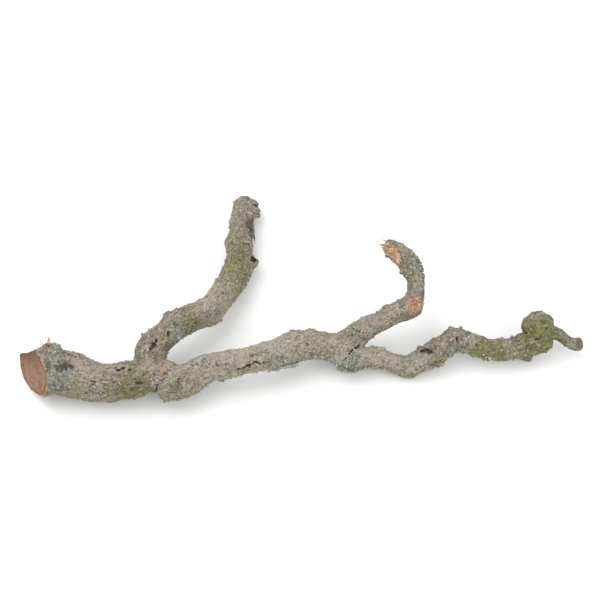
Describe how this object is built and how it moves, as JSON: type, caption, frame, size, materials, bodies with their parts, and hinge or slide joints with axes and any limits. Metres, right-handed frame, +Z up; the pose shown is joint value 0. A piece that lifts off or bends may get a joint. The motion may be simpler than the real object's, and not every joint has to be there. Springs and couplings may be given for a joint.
{
  "type": "fallen tree branch",
  "caption": "Crooked fallen tree branch with its bark on, sawn at the butt, with side limbs, a burl and an end twig, lying flat.",
  "frame": {"origin": "on the ground, under the middle of the branch's box", "axes": "+X along the branch from the sawn butt to the end twig, +Y towards the side that the side limbs lie on, +Z up"},
  "size_m": [0.9714, 0.4562, 0.1327],
  "materials": {
    "grey_bark": "rough grey-brown bark with pale lichen, sawn wood at the end",
    "tan_bark": "rough pinkish-tan bark with fine wrinkles",
    "mossy_bark": "rough bark, green with algae and speckled with lichen",
    "bare_wood": "torn and peeling wood, orange-brown",
    "lichen": "dry blue-grey leafy lichen"
  },
  "bodies": {
    "root": {"butt_limb": "grey_bark", "middle_limb": "tan_bark", "left_side_limb": "mossy_bark", "right_side_limb": "tan_bark", "outer_limb": "mossy_bark", "end_twig": "mossy_bark"}
  },
  "joints": []
}
